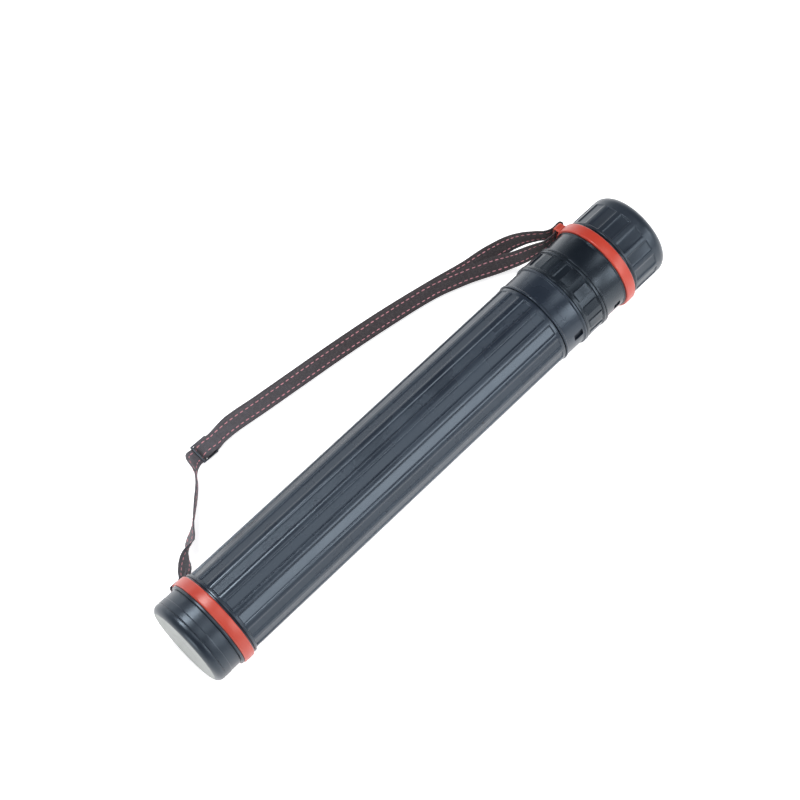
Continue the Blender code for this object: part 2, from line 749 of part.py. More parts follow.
def smooth_line(route, spacing):
    """Points along a smooth curve through the route, with the way the width points at each."""
    points = [p for p, w in route]
    ways = [w for p, w in route]
    knots = [0.0]
    for one, two in zip(points, points[1:]):
        knots.append(knots[-1] + (two - one).length)
    slopes = []
    for i in range(len(points)):
        before = max(i - 1, 0)
        after = min(i + 1, len(points) - 1)
        slopes.append((points[after] - points[before]) / (knots[after] - knots[before]))
    out = []
    for i in range(len(points) - 1):
        length = knots[i + 1] - knots[i]
        turn = slopes[i].angle(slopes[i + 1])
        pieces = max(1, math.ceil(length / spacing), math.ceil(turn / math.radians(24)))
        for k in range(pieces):
            t = k / pieces
            a = 2 * t**3 - 3 * t**2 + 1
            b = t**3 - 2 * t**2 + t
            c = 3 * t**2 - 2 * t**3
            d = t**3 - t**2
            place = a * points[i] + b * length * slopes[i] + c * points[i + 1] + d * length * slopes[i + 1]
            out.append((place, ways[i].lerp(ways[i + 1], t)))
    out.append((points[-1], ways[-1]))
    return out


def band(name, line, width, thickness, look):
    """A flat band with square edges along a line of (point, way the width points)."""
    form = bmesh.new()
    rings = []
    for i, (point, way) in enumerate(line):
        ahead = line[min(i + 1, len(line) - 1)][0]
        behind = line[max(i - 1, 0)][0]
        forward = (ahead - behind).normalized()
        across = (way - forward * way.dot(forward)).normalized() * (width / 2)
        off = forward.cross(across).normalized() * (thickness / 2)
        corners = (point + across + off, point - across + off, point - across - off, point + across - off)
        rings.append([form.verts.new(c) for c in corners])
    for one, two in zip(rings, rings[1:]):
        # the two wide sides are split along the same diagonal, so that a twist doesn't bring them together
        form.faces.new((one[0], one[1], two[1]))
        form.faces.new((one[0], two[1], two[0]))
        form.faces.new((one[3], one[2], two[2]))
        form.faces.new((one[3], two[2], two[3]))
        form.faces.new((one[1], one[2], two[2], two[1]))
        form.faces.new((one[3], one[0], two[0], two[3]))
    form.faces.new(rings[0])
    form.faces.new(rings[-1])
    return add_object(name, finish_mesh(name, form), look)


def make_strap(looks, cutters):
    band("strap", smooth_line(strap_route(), 0.012), WEBBING_WIDTH, WEBBING_THICKNESS, looks["webbing"])
    length = SLIDER_LENGTH / 2
    width = SLIDER_WIDTH / 2
    plate = ((-length, -width, 0), (length, width, SLIDER_THICKNESS))
    slider = box("strap_slider", *plate, looks["slider_plastic"])
    slot_length = (SLIDER_LENGTH - 3 * SLIDER_BAR) / 2
    slot_half = SLIDER_SLOT_WIDTH / 2
    cut = [slider]
    for index in range(2):
        x = SLIDER_BAR - length + index * (slot_length + SLIDER_BAR)
        low = (x, -slot_half, -0.0020)
        high = (x + slot_length, slot_half, SLIDER_THICKNESS + 0.0020)
        slot = box(f"slider_slot_{index + 1}", low, high, None, cutters)
        hide_cutter(slot)
        boolean(slider, slot, "DIFFERENCE")
        cut.append(slot)
    for piece in cut:
        x = LOWER_LUG_X + SLIDER_ON
        piece.location = (x, STRAP_RING_RADIUS + SLIDER_OUT, GROUND + SLIDER_LIFT)
        piece.rotation_euler = (0, 0, SLIDER_TURN)


def main():
    for old in list(bpy.data.objects):
        bpy.data.objects.remove(old, do_unlink=True)
    cutters = bpy.data.collections.new("cutters")
    bpy.context.scene.collection.children.link(cutters)
    looks = make_materials()
    make_outer_tube(looks)
    make_bottom_cap(looks)
    make_strap_ring("lower_strap_ring", LOWER_RING_X, LOWER_LUG_ANGLE, looks, cutters)
    make_strap_ring("upper_strap_ring", UPPER_RING_X, UPPER_LUG_ANGLE, looks, cutters)
    make_lock_collar(looks, cutters)
    make_lock_collet(looks, cutters)
    make_lock_ring(looks)
    make_inner_tube(looks)
    make_head(looks, cutters)
    make_lid(looks)
    make_strap(looks, cutters)


main()
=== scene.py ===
"""The telescopic drawing tube as it looks: moulded ribbed plastic, red strap rings and stitched webbing."""

import math
import random

import bmesh
import bpy
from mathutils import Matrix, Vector


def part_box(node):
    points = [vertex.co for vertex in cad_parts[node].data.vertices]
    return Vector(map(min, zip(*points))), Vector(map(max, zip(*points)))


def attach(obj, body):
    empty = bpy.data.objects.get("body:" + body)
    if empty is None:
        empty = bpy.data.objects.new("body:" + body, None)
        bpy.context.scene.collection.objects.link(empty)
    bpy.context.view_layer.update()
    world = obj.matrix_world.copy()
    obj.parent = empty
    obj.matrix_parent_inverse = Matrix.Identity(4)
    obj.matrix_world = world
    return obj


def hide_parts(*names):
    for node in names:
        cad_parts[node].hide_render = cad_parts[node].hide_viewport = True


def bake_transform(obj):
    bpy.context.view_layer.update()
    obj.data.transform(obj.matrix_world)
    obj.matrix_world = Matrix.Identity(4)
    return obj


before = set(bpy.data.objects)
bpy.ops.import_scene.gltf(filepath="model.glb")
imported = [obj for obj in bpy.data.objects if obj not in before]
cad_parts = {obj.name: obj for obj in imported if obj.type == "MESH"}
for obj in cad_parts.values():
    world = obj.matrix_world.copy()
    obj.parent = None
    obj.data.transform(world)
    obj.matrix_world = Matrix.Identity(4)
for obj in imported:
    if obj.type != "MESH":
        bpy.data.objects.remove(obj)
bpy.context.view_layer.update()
random.seed(7)

# The camera --------------------------------------------------------------------------------------------

camera_data = bpy.data.cameras.new("camera")
camera_data.lens = 87.0
camera_data.sensor_width = 36.0
camera_data.dof.use_dof = False
camera = bpy.data.objects.new("camera", camera_data)
camera.location = (-0.2070, -0.4946, 1.7685)
camera.rotation_euler = Vector((-0.27559, -0.27584, 0.92085)).to_track_quat("Z", "Y").to_euler()
bpy.context.scene.collection.objects.link(camera)
bpy.context.scene.camera = camera

# Sizes that the CAD frame sets, in metres --------------------------------------------------------------

GAP = 0.0003
RING = 0.0500                 # strap rings
RING_BORE = 0.0463
NECK = 0.0460                 # under the rings
BODY = 0.0470                 # between the panels
BEAD = 0.0487
SLEEVE = 0.0443
SLEEVE_BORE = 0.0429
TUBE_BORE = 0.0446
INNER = 0.0426
BORE = 0.0411
LID = 0.0474
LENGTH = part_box("lid")[1][0]
LOWER_RING_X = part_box("lower_strap_ring")[0][0]
UPPER_RING_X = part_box("upper_strap_ring")[0][0]
RING_WIDTH = 0.0120
TUBE_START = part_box("outer_tube")[0][0]
TUBE_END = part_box("outer_tube")[1][0]
CAP_PLUG_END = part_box("bottom_cap")[1][0]
COLLAR_PLUG_START, COLLAR_END = (corner[0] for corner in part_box("lock_collar"))
LOCK_START, LOCK_END = (corner[0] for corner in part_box("lock_ring"))
HEAD_START, HEAD_END = (corner[0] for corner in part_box("head"))
LID_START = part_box("lid")[0][0]
GROUND = -RING
PLAY = 0.0004                 # beside a strap ring, and between the pieces that meet end to end
SEAL_WIDTH = 0.0020           # the grooves for the rubber rings
SEAL_DEPTH = 0.0011

# Materials ---------------------------------------------------------------------------------------------


class Look:
    """A material's node tree, with short ways to add and join nodes."""

    def __init__(self, name):
        self.material = bpy.data.materials.new(name)
        self.material.use_nodes = True
        self.tree = self.material.node_tree
        self.shader = self.tree.nodes["Principled BSDF"]

    def add(self, kind, **settings):
        node = self.tree.nodes.new(kind)
        for key, value in settings.items():
            setattr(node, key, value)
        return node

    def join(self, out, into):
        self.tree.links.new(out, into)

    def set(self, **values):
        for key, value in values.items():
            self.shader.inputs[key.replace("_", " ")].default_value = value

    def place(self, stretch=(1, 1, 1), kind="Object"):
        where = self.add("ShaderNodeTexCoord")
        mapping = self.add("ShaderNodeMapping")
        mapping.inputs["Scale"].default_value = stretch
        self.join(where.outputs[kind], mapping.inputs["Vector"])
        return mapping.outputs["Vector"]

    def noise(self, scale, detail=3.0, stretch=(1, 1, 1), roughness=0.55):
        noise = self.add("ShaderNodeTexNoise")
        noise.inputs["Scale"].default_value = scale
        noise.inputs["Detail"].default_value = detail
        noise.inputs["Roughness"].default_value = roughness
        self.join(self.place(stretch), noise.inputs["Vector"])
        return noise.outputs["Fac"]

    def spread(self, value, low, high, to_low, to_high):
        ranged = self.add("ShaderNodeMapRange")
        ranged.inputs["From Min"].default_value = low
        ranged.inputs["From Max"].default_value = high
        ranged.inputs["To Min"].default_value = to_low
        ranged.inputs["To Max"].default_value = to_high
        self.join(value, ranged.inputs["Value"])
        return ranged.outputs["Result"]

    def maths(self, operation, one, two):
        node = self.add("ShaderNodeMath", operation=operation)
        for socket, value in zip(node.inputs, (one, two)):
            if isinstance(value, (int, float)):
                socket.default_value = value
            else:
                self.join(value, socket)
        return node.outputs["Value"]

    def mix(self, factor, one, two):
        node = self.add("ShaderNodeMix", data_type="RGBA")
        self.join(factor, node.inputs["Factor"])
        for name, colour in (("A", one), ("B", two)):
            socket = [s for s in node.inputs if s.name == name and s.type == "RGBA"][0]
            if isinstance(colour, tuple):
                socket.default_value = (*colour, 1.0)
            else:
                self.join(colour, socket)
        return [s for s in node.outputs if s.type == "RGBA"][0]

    def bump(self, height, strength, distance, before=None):
        node = self.add("ShaderNodeBump")
        node.inputs["Strength"].default_value = strength
        node.inputs["Distance"].default_value = distance
        self.join(height, node.inputs["Height"])
        if before is not None:
            self.join(before, node.inputs["Normal"])
        return node.outputs["Normal"]


COOL_TINT = (0.72, 0.86, 1.0)
WARM_TINT = (1.0, 0.86, 0.84)
RIB_PITCH = 0.0013            # of the webbing's weave
YARN_PITCH = 0.0010
WAVE_PER_SCALE = 20 / (2 * math.pi)     # waves in a metre for a wave texture's scale of 1


def moulded(name, colour, worn, roughness, sheen=0.0, grain=0.10, tint=COOL_TINT):
    """Moulded plastic: fine grain, a slow change of gloss, faint scuffs and edges worn lighter."""
    look = Look(name)
    clouds = look.noise(22.0, 4.0)
    scuffs = look.spread(look.noise(60.0, 5.0, (0.25, 6.0, 6.0), 0.7), 0.60, 0.78, 0.0, 1.0)
    specks = look.spread(look.noise(900.0, 2.0), 0.72, 0.80, 0.0, 1.0)
    edges = look.spread(look.add("ShaderNodeNewGeometry").outputs["Pointiness"], 0.52, 0.60, 0.0, 0.55)
    wear = look.maths("MULTIPLY", edges, look.spread(look.noise(45.0, 4.0), 0.35, 0.65, 0.3, 1.0))
    tone = look.mix(look.spread(clouds, 0.3, 0.7, 0.0, 0.30), colour, worn)
    tone = look.mix(look.maths("MULTIPLY", scuffs, 0.22), tone, worn)
    tone = look.mix(look.maths("MULTIPLY", specks, 0.25), tone, worn)
    tone = look.mix(wear, tone, worn)
    look.join(tone, look.shader.inputs["Base Color"])
    gloss = look.spread(clouds, 0.3, 0.7, roughness - 0.035, roughness + 0.045)
    gloss = look.maths("ADD", gloss, look.maths("MULTIPLY", scuffs, 0.10))
    look.join(gloss, look.shader.inputs["Roughness"])
    fine = look.bump(look.noise(1400.0, 3.0), grain, 0.0002)
    slow = look.bump(look.noise(70.0, 2.0, (0.15, 1.0, 1.0)), 0.10, 0.0006, fine)
    look.join(slow, look.shader.inputs["Normal"])
    look.set(IOR=1.50, Specular_Tint=(*tint, 1.0), Sheen_Weight=sheen, Sheen_Roughness=0.35)
    return look.material


def painted_reflection_end_look():
    """The flat end that the tube stands on: the same plastic with a painted reflection, pale grey in patches
    and rings, and fine rings of scuffs.
    """
    look = Look("painted_reflection_end_look")
    clouds = look.noise(55.0, 5.0)
    rings = look.add("ShaderNodeTexWave", wave_type="RINGS", rings_direction="X", wave_profile="SIN")
    rings.inputs["Scale"].default_value = 190.0
    rings.inputs["Distortion"].default_value = 2.5
    rings.inputs["Detail"].default_value = 3.0
    look.join(look.place(), rings.inputs["Vector"])
    patches = look.spread(clouds, 0.32, 0.62, 0.55, 1.0)
    scuffs = look.spread(rings.outputs["Fac"], 0.0, 1.0, 0.72, 1.0)
    # painted reflection: pale grey painted on the end face in place of its grazing reflection of the white
    # floor
    painted_reflection_mask = look.maths("MULTIPLY", patches, scuffs)
    tone = look.mix(painted_reflection_mask, (0.030, 0.036, 0.040), (0.235, 0.255, 0.235))
    look.join(tone, look.shader.inputs["Base Color"])
    look.join(look.spread(clouds, 0.3, 0.7, 0.30, 0.44), look.shader.inputs["Roughness"])
    look.join(look.bump(rings.outputs["Fac"], 0.20, 0.0002), look.shader.inputs["Normal"])
    look.set(IOR=1.55)
    return look.material


def rubber_look():
    look = Look("seal_rubber_look")
    tone = look.mix(look.noise(120.0, 4.0), (0.014, 0.014, 0.015), (0.035, 0.034, 0.034))
    look.join(tone, look.shader.inputs["Base Color"])
    look.join(look.spread(look.noise(60.0), 0.3, 0.7, 0.62, 0.82), look.shader.inputs["Roughness"])
    look.join(look.bump(look.noise(2200.0, 2.0), 0.15, 0.0002), look.shader.inputs["Normal"])
    return look.material


def webbing_look():
    """Ribbed webbing, from its UV map in metres: u across the band and v along it."""
    look = Look("webbing_look")
    place = look.place((1, 1, 1), "UV")
    ribs = look.add("ShaderNodeTexWave", wave_type="BANDS", bands_direction="Y", wave_profile="SIN")
    ribs.inputs["Scale"].default_value = 1 / (WAVE_PER_SCALE * RIB_PITCH)
    yarns = look.add("ShaderNodeTexWave", wave_type="BANDS", bands_direction="X", wave_profile="SIN")
    yarns.inputs["Scale"].default_value = 1 / (WAVE_PER_SCALE * YARN_PITCH)
    for wave in (ribs, yarns):
        wave.inputs["Distortion"].default_value = 0.6
        wave.inputs["Detail"].default_value = 1.0
        look.join(place, wave.inputs["Vector"])
    weave = look.maths("MULTIPLY", ribs.outputs["Fac"], yarns.outputs["Fac"])
    fuzz = look.noise(620.0, 4.0)
    tone = look.mix(weave, (0.016, 0.013, 0.015), (0.058, 0.047, 0.052))
    tone = look.mix(look.spread(fuzz, 0.42, 0.70, 0.0, 0.45), tone, (0.130, 0.105, 0.112))
    split = look.add("ShaderNodeSeparateXYZ")
    look.join(look.place(), split.inputs["Vector"])
    # the stretch beside the slider is paler from handling
    handled = look.spread(split.outputs["X"], 0.13, 0.34, 0.42, 0.0)
    handled = look.maths("MULTIPLY", handled, look.spread(look.noise(160.0, 4.0), 0.30, 0.65, 0.55, 1.0))
    tone = look.mix(handled, tone, (0.175, 0.175, 0.205))
    look.join(tone, look.shader.inputs["Base Color"])
    look.join(look.spread(fuzz, 0.3, 0.7, 0.72, 0.92), look.shader.inputs["Roughness"])
    woven = look.bump(weave, 0.55, 0.0005)
    look.join(look.bump(fuzz, 0.25, 0.0003, woven), look.shader.inputs["Normal"])
    look.set(Sheen_Weight=0.10, Sheen_Roughness=0.5)
    return look.material


def thread_look():
    look = Look("thread_look")
    twist = look.noise(1500.0, 3.0, (1.0, 0.4, 1.0))
    tone = look.mix(twist, (0.44, 0.120, 0.150), (0.78, 0.38, 0.42))
    look.join(tone, look.shader.inputs["Base Color"])
    look.join(look.spread(twist, 0.3, 0.7, 0.5, 0.75), look.shader.inputs["Roughness"])
    look.join(look.bump(twist, 0.4, 0.0003), look.shader.inputs["Normal"])
    return look.material


BODY_LOOK = moulded("body_plastic_look", (0.009, 0.013, 0.021), (0.032, 0.042, 0.060), 0.27, 0.02)
NECK_LOOK = moulded("neck_plastic_look", (0.004, 0.006, 0.009), (0.017, 0.022, 0.030), 0.24, 0.01)
CAP_LOOK = moulded("cap_plastic_look", (0.012, 0.016, 0.023), (0.038, 0.047, 0.062), 0.31, 0.05)
INNER_LOOK = moulded("inner_plastic_look", (0.009, 0.011, 0.016), (0.030, 0.036, 0.046), 0.40, 0.02)
RED_LOOK = moulded("red_plastic_look", (0.41, 0.034, 0.018), (0.56, 0.095, 0.060), 0.33, 0.03, tint=WARM_TINT)
SLIDER_LOOK = moulded("slider_plastic_look", (0.020, 0.020, 0.025), (0.060, 0.060, 0.070), 0.50, 0.03, 0.2)
END_LOOK = painted_reflection_end_look()
RUBBER_LOOK = rubber_look()
WEBBING_LOOK = webbing_look()
THREAD_LOOK = thread_look()

# Shapes ------------------------------------------------------------------------------------------------


def add_object(name, mesh, look):
    made = bpy.data.objects.new(name, mesh)
    mesh.materials.append(look)
    bpy.context.scene.collection.objects.link(made)
    return made


def finish_mesh(name, form):
    bmesh.ops.recalc_face_normals(form, faces=form.faces)
    mesh = bpy.data.meshes.new(name)
    form.to_mesh(mesh)
    form.free()
    return mesh


def shade_smooth(made, angle=34.0):
    made.data.polygons.foreach_set("use_smooth", [True] * len(made.data.polygons))
    made.data.set_sharp_from_angle(angle=math.radians(angle))


def soften(profile, radius, closed):
    """Rounds the corners of a list of (x, radius, panel share) points."""
    count = len(profile)
    out = []
    for i, here in enumerate(profile):
        if not closed and i in (0, count - 1):
            out.append(here)
            continue
        before = profile[i - 1]
        after = profile[(i + 1) % count]
        cuts = []
        for other in (before, after):
            length = math.hypot(other[0] - here[0], other[1] - here[1])
            share = min(radius, 0.42 * length) / max(length, 1e-9)
            cuts.append(tuple(h + (o - h) * share for h, o in zip(here, other)))
        for t in (0.0, 0.25, 0.5, 0.75, 1.0):
            a = (1 - t) ** 2
            b = 2 * t * (1 - t)
            c = t * t
            out.append(tuple(a * p + b * q + c * r for p, q, r in zip(cuts[0], here, cuts[1])))
    return out


def panel_columns(phase, half, wall, count=16):
    """Angles round a panelled piece, each with its share of the panel's depth and angle off its middle."""
    step = 360.0 / count
    rises = [(half - wall * t, t * t * (3 - 2 * t)) for t in (0.0, 0.25, 0.5, 0.75, 1.0)]
    flat = half - wall
    offsets = [(-off, share) for off, share in rises]
    offsets += [(flat * t, 1.0) for t in (-0.6, -0.2, 0.2, 0.6)]
    offsets += rises[::-1]
    spare = step - 2 * half
    offsets += [(half + spare / 3, 0.0), (half + 2 * spare / 3, 0.0)]
    out = []
    for index in range(count):
        for offset, share in offsets:
            out.append((math.radians(phase + index * step + offset), share, math.radians(offset)))
    return out


def plain_columns(count=176):
    return [(2 * math.pi * (i + 0.5) / count, 0.0, 0.0) for i in range(count)]


def turned(name, profile, look, columns=None, rise=0.0, closed=True, radius=0.0004):
    """A piece turned about the X axis from (x, radius, panel share) points.  An open profile starts and ends
    on the axis.  Panels are flat, and their middle stands rise above the profile."""
    columns = columns or plain_columns()
    form = bmesh.new()
    rings = []
    for x, out, share in soften(profile, radius, closed):
        if out < 1e-6:
            rings.append([form.verts.new((x, 0, 0))])
            continue
        ring = []
        for angle, panel, offset in columns:
            panelled = (out + rise) / math.cos(offset) if panel else out
            r = out + (panelled - out) * panel * share
            ring.append(form.verts.new((x, r * math.sin(angle), r * math.cos(angle))))
        rings.append(ring)
    pairs = list(zip(rings, rings[1:] + rings[:1])) if closed else list(zip(rings, rings[1:]))
    for one, two in pairs:
        for i in range(len(columns)):
            j = (i + 1) % len(columns)
            corners = []
            for ring, index in ((one, i), (one, j), (two, j), (two, i)):
                corner = ring[index if len(ring) > 1 else 0]
                if corner not in corners:
                    corners.append(corner)
            if len(corners) > 2:
                form.faces.new(corners)
    made = add_object(name, finish_mesh(name, form), look)
    shade_smooth(made)
    return made


def plain(points):
    return [(x, r, 0.0) for x, r in points]


def arc(centre_x, centre_radius, radius, start, end, count):
    out = []
    for i in range(count + 1):
        a = math.radians(start + (end - start) * i / count)
        out.append((centre_x + radius * math.cos(a), centre_radius + radius * math.sin(a)))
    return out


def rounded_box(low, high, radius, segments=3):
    """A bmesh block between two corners with every edge rounded."""
    form = bmesh.new()
    bmesh.ops.create_cube(form, size=1.0)
    for vert in form.verts:
        vert.co = Vector([l + (c + 0.5) * (h - l) for l, c, h in zip(low, vert.co, high)])
    bmesh.ops.bevel(form, geom=form.edges[:], offset=radius, segments=segments, profile=0.5, affect="EDGES")
    return form


def loft(form, rings):
    """Joins closed rings of points with faces and closes both ends."""
    count = len(rings[0])
    for one, two in zip(rings, rings[1:]):
        for k in range(count):
            j = (k + 1) % count
            form.faces.new((one[k], one[j], two[j], two[k]))
    form.faces.new(rings[0])
    form.faces.new(rings[-1])


def cut_window(made, x, length, width, angle, low, high):
    """Cuts a window with rounded corners through a turned piece's wall and keeps the cut mesh."""
    form = rounded_box((x, low, -width / 2), (x + length, high, width / 2), 0.0008)
    for vert in form.verts:
        y = vert.co.y
        z = vert.co.z
        vert.co.y = y * math.cos(angle) - z * math.sin(angle)
        vert.co.z = y * math.sin(angle) + z * math.cos(angle)
    cutter = bpy.data.objects.new("window_cutter", finish_mesh("window_cutter", form))
    bpy.context.scene.collection.objects.link(cutter)
    modifier = made.modifiers.new("window", "BOOLEAN")
    modifier.operation = "DIFFERENCE"
    modifier.solver = "EXACT"
    modifier.object = cutter
    bpy.context.view_layer.update()
    evaluated = made.evaluated_get(bpy.context.evaluated_depsgraph_get())
    mesh = bpy.data.meshes.new_from_object(evaluated)
    made.modifiers.clear()
    made.data = mesh
    bpy.data.objects.remove(cutter, do_unlink=True)
    shade_smooth(made)


# The body and what is fixed to it ----------------------------------------------------------------------


def stand_for(made, body, node):
    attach(made, body)
    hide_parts(node)


def make_outer_tube():
    flange = LOWER_RING_X + RING_WIDTH + PLAY
    start = flange + 0.0042
    first = start + 0.0010
    last = TUBE_END - 0.0044
    profile = plain([
        (TUBE_START, NECK),
        (flange, NECK),
        (flange, BODY + 0.0002),
        (flange + 0.0013, BODY + 0.0002),
        (flange + 0.0017, BODY + 0.0016),
        (start - 0.0006, BODY + 0.0016),
        (start, BODY),
        (first, BODY),
    ])
    profile += [(first + 0.0008, BODY, 1.0), (last - 0.0008, BODY, 1.0)]
    profile += plain([(last, BODY), (TUBE_END - 0.0008, BODY), (TUBE_END, BODY - 0.0008)])
    profile += plain([(TUBE_END, TUBE_BORE + 0.0001), (TUBE_START, TUBE_BORE + 0.0001)])
    panels = panel_columns(phase=6.9, half=7.7, wall=1.1)
    made = turned("body_shell", profile, BODY_LOOK, panels, rise=-0.0013, radius=0.0003)
    stand_for(made, "outer", "outer_tube")


def make_bottom_cap():
    end_radius = 0.0075
    plug_bore = SLEEVE_BORE - 0.0012
    cap_end = LOWER_RING_X - PLAY
    seal = LOWER_RING_X + 0.0080
    profile = [(0.0, 0.0), (0.0, 0.0150), (0.0002, 0.0160), (0.0002, 0.0350)]
    profile += arc(end_radius, BODY - end_radius, end_radius, 180, 90, 10)
    profile += [
        (0.0091, BODY),
        (0.0097, BODY - 0.0007),
        (0.0103, BODY),
        (0.0168, BODY),
        (0.0174, BODY - 0.0004),
        (0.0284, BODY - 0.0004),
        (0.0289, BODY - 0.0010),
        (0.0293, BODY + 0.0018),
        (cap_end, BODY + 0.0018),
        (cap_end, SLEEVE),
        (seal, SLEEVE),
        (seal, SLEEVE - SEAL_DEPTH),
        (seal + SEAL_WIDTH, SLEEVE - SEAL_DEPTH),
        (seal + SEAL_WIDTH, SLEEVE),
        (CAP_PLUG_END, SLEEVE),
        (CAP_PLUG_END, plug_bore),
        (0.0074, plug_bore),
        (0.0024, plug_bore - 0.0050),
        (0.0024, 0.0),
    ]
    made = turned("cap_shell", plain(profile), CAP_LOOK, closed=False)
    # the flat end face gets the material with the painted reflection
    made.data.materials.append(END_LOOK)
    for face in made.data.polygons:
        if face.normal.x < -0.97 and face.center.x < 0.0020:
            face.material_index = 1
    stand_for(made, "outer", "bottom_cap")


def lug_frame(angle):
    outward = Vector((0, math.cos(angle), math.sin(angle)))
    upward = Vector((0, -math.sin(angle), math.cos(angle)))
    return outward, upward


LUG_SLOT_LOW = RING + 0.0006
LUG_SLOT = 0.0030
LUG_BAR = 0.0026              # its thickness
LUG_BAR_HALF = RING_WIDTH / 2 - 0.0010
LUG_HALF = 0.0135             # half its span across the strap
LUG_SIDES = 24                # points round its bar


def make_strap_ring(name, node, body, start, angle):
    """A slightly crowned ring with a lug: a rounded bar on two posts that flare into the ring."""
    end = start + RING_WIDTH
    middle = (start + end) / 2
    profile = plain([
        (start, RING_BORE),
        (start, RING - 0.0009),
        (start + 0.0010, RING - 0.0001),
        (middle, RING + 0.00005),
        (end - 0.0010, RING - 0.0001),
        (end, RING - 0.0009),
        (end, RING_BORE),
    ])
    made = turned(name, profile, RED_LOOK, radius=0.0005)
    stand_for(made, body, node)

    outward, upward = lug_frame(angle)
    low = RING_BORE + 0.0014
    top = LUG_SLOT_LOW + LUG_SLOT + LUG_BAR / 2
    across = LUG_HALF - LUG_BAR / 2
    corner = 0.0028
    path = [(low, -across - 0.0016), (top - corner - 0.0022, -across - 0.0004), (top - corner, -across)]
    for step in range(1, 7):
        a = math.radians(180 - 90 * step / 6)
        path.append((top - corner + corner * math.sin(a), -across + corner + corner * math.cos(a)))
    path += [(out, -side) for out, side in reversed(path)]
    form = bmesh.new()
    rings = []
    for i, (out, side) in enumerate(path):
        after = path[min(i + 1, len(path) - 1)]
        before = path[max(i - 1, 0)]
        along = Vector((after[0] - before[0], after[1] - before[1])).normalized()
        off = Vector((along.y, -along.x))
        ring = []
        for k in range(LUG_SIDES):
            a = 2 * math.pi * k / LUG_SIDES
            c = math.copysign(abs(math.cos(a)) ** 0.45, math.cos(a))
            s = math.copysign(abs(math.sin(a)) ** 0.60, math.sin(a))
            r = out + off.x * s * LUG_BAR / 2
            t = side + off.y * s * LUG_BAR / 2
            ring.append(form.verts.new(Vector((middle + c * LUG_BAR_HALF, 0, 0)) + outward * r + upward * t))
        rings.append(ring)
    loft(form, rings)
    lug = add_object(name + "_lug", finish_mesh(name + "_lug", form), RED_LOOK)
    shade_smooth(lug, 50.0)
    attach(lug, body)


def make_lock_collar():
    start = TUBE_END + PLAY
    end = COLLAR_END
    ridge = BODY + 0.0010
    smooth = BODY - 0.0001
    collet_gap = LOCK_START - 0.0260
    profile = plain([
        (COLLAR_PLUG_START, SLEEVE_BORE),
        (COLLAR_PLUG_START, SLEEVE),
        (start, SLEEVE),
        (start, ridge - 0.0006),
        (start + 0.0008, ridge),
        (start + 0.0018, ridge),
        (start + 0.0028, smooth),
        (end - 0.0027, smooth),
        (end - 0.0020, BEAD),
        (end, BEAD),
        (end, TUBE_BORE),
        (collet_gap, TUBE_BORE),
        (collet_gap, SLEEVE_BORE),
    ])
    made = turned("collar_shell", profile, BODY_LOOK)
    cut_window(
        made,
        x=end - 0.0161,
        length=0.0118,
        width=0.0092,
        angle=math.radians(164.0),
        low=TUBE_BORE - 0.0010,
        high=BEAD + 0.0020,
    )
    stand_for(made, "outer", "lock_collar")


def collar_marks():
    """Generic raised marks on the collar: a bent arrow with a tick at each end."""
    strokes = []
    x = TUBE_END + 0.0118
    for tick in (-18.0, -46.0):
        strokes.append(((x - 0.0042, tick), (x + 0.0042, tick)))
    strokes.append(((x, -22.0), (x, -40.0)))
    strokes.append(((x, -42.0), (x - 0.0030, -37.8)))
    strokes.append(((x, -42.0), (x + 0.0030, -37.8)))
    form = bmesh.new()
    base = BODY - 0.0003
    top = BODY + 0.00025
    half = 0.00045
    for (x1, a1), (x2, a2) in strokes:
        steps = max(2, int(abs(a2 - a1) / 2.0))
        run = Vector((x2 - x1, math.radians(a2 - a1) * BODY)).normalized()
        side = Vector((-run.y, run.x)) * half
        rings = []
        for k in range(steps + 1):
            t = k / steps
            ring = []
            for r, s in ((base, 1.4), (top, 1.0), (top, -1.0), (base, -1.4)):
                along = x1 + (x2 - x1) * t + side.x * s
                angle = math.radians(a1 + (a2 - a1) * t) + side.y * s / BODY
                ring.append(form.verts.new((along, r * math.sin(angle), r * math.cos(angle))))
            rings.append(ring)
        loft(form, rings)
    made = add_object("collar_marks", finish_mesh("collar_marks", form), BODY_LOOK)
    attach(made, "outer")


def make_gate_mark():
    """The small disc that the moulding gate leaves on the body."""
    x = 0.358
    angle = math.radians(-70.0)
    out = BODY + 0.0001
    form = bmesh.new()
    bmesh.ops.create_cone(form, cap_ends=True, segments=20, radius1=0.0012, radius2=0.0008, depth=0.0006)
    made = add_object("gate_mark", finish_mesh("gate_mark", form), RUBBER_LOOK)
    made.location = (x, math.sin(angle) * out, math.cos(angle) * out)
    made.rotation_euler = (-angle, 0, 0)
    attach(made, "outer")


def make_lock_ring():
    start = LOCK_START
    end = LOCK_END
    bore = SLEEVE + 2 * GAP
    groove = SLEEVE + 0.0010 + 2 * GAP
    profile = plain([
        (start, BEAD - 0.0005),
        (start + 0.0005, BEAD),
        (start + 0.0026, BEAD),
        (start + 0.0034, BODY),
        (start + 0.0050, BODY),
    ])
    profile += [(start + 0.0058, BODY, 1.0), (end - 0.0050, BODY, 1.0)]
    profile += plain([
        (end - 0.0042, BODY),
        (end - 0.0034, BODY),
        (end - 0.0027, BEAD),
        (end - 0.0004, BEAD),
        (end, BEAD - 0.0004),
        (end, bore),
        (start + 0.0035, bore),
        (start + 0.0035, groove),
        (start + 0.0011, groove),
        (start + 0.0011, bore),
        (start, bore),
    ])
    grips = panel_columns(phase=16.1, half=7.0, wall=1.0)
    made = turned("lock_ring_shell", profile, NECK_LOOK, grips, rise=0.0008, radius=0.00028)
    stand_for(made, "lock_ring", "lock_ring")


# The sliding tube, the head and the lid ----------------------------------------------------------------


def make_inner_tube():
    start, end = (corner[0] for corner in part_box("inner_tube"))
    profile = plain([(start, BORE), (start, INNER), (end, INNER), (end, BORE)])
    made = turned("sliding_tube", profile, INNER_LOOK, radius=0.0003)
    stand_for(made, "inner", "inner_tube")


